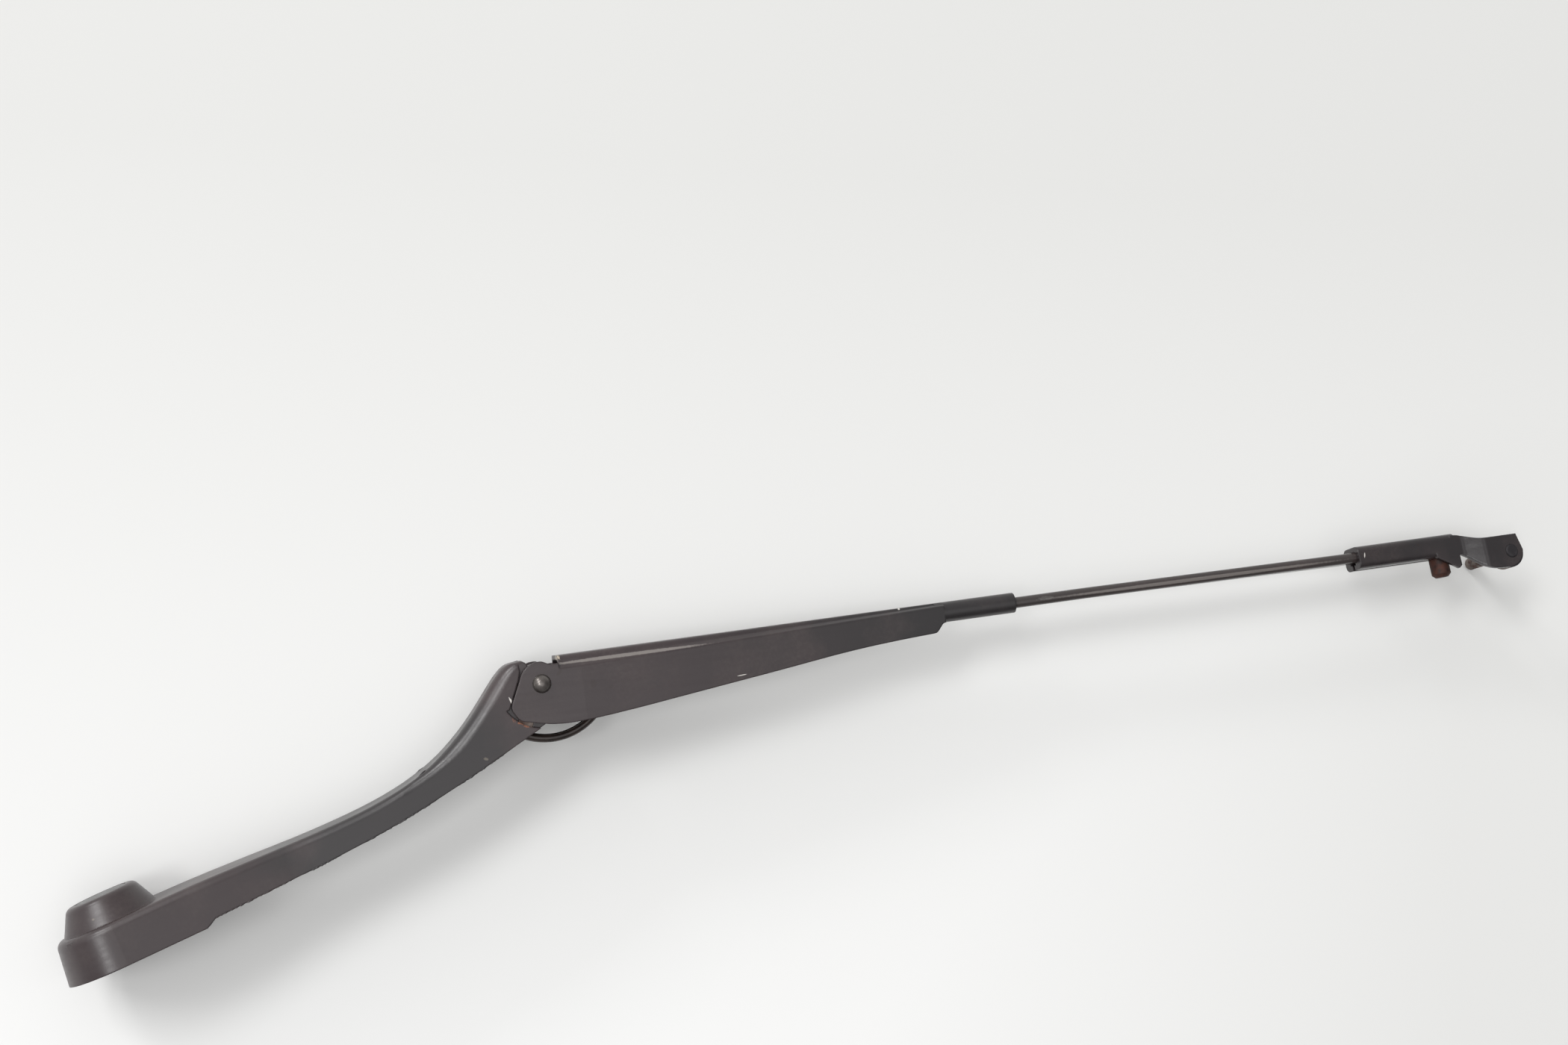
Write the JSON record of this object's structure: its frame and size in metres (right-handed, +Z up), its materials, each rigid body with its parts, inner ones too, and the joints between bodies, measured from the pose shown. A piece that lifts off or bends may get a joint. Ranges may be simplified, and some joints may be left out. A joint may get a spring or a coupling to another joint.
{
  "type": "windscreen wiper arm",
  "caption": "Spring-loaded wiper arm: a cast head for a spindle, a hinged pressed channel, a flat rod and a folded carrier with a stud and a side pin for the blade.",
  "frame": {"origin": "on the spindle's axis, in the plane of the nut's seat", "axes": "+Z up the spindle, +X along the arm towards the blade, +Y to the side the blade pin points to"},
  "size_m": [0.5505, 0.039, 0.1244],
  "materials": {
    "head_paint": "satin",
    "cap": "satin",
    "bush": "oiled",
    "rivet": "satin",
    "steel": "dull",
    "hook": "satin",
    "spring": "oiled",
    "arm_paint": "satin",
    "rod_paint": "satin",
    "carrier_paint": "satin",
    "stud": "rusty",
    "pin": "rusty"
  },
  "bodies": {
    "head": {"arm_head": "head_paint", "nut_cap": "cap", "hinge_bush_near": "bush", "hinge_bush_far": "bush", "hook_pin": "steel"},
    "arm": {"retainer": "arm_paint", "hinge_rivet": "rivet", "rod": "rod_paint", "blade_carrier": "carrier_paint", "locating_stud": "stud", "side_pin": "pin"},
    "hook": {"spring_hook": "hook"},
    "spring": {"tension_spring": "spring"}
  },
  "joints": [
    {"name": "arm_hinge", "type": "hinge", "parent": "head", "child": "arm", "pos_m": [0.1576, 0, 0.0161], "axis": [0, -1, 0], "range_deg": [0, 66], "stiffness_Nm_per_rad": 1, "springref_deg": -57.3},
    {"name": "hook_swing", "type": "hinge", "parent": "head", "child": "hook", "pos_m": [0.1475, 0, 0.0058], "axis": [0, -1, 0], "range_deg": [0, 59.9]},
    {"name": "spring_stretch", "type": "slide", "parent": "hook", "child": "spring", "axis": [0.9869, 0, -0.1615], "range_m": [0, 0.00676], "deforming": ["tension_spring"]}
  ],
  "couplings": [
    {"joint": "hook_swing", "follows": "arm_hinge", "ratio": 0.9042},
    {"joint": "spring_stretch", "follows": "arm_hinge", "m_per_rad": 0.005777}
  ]
}
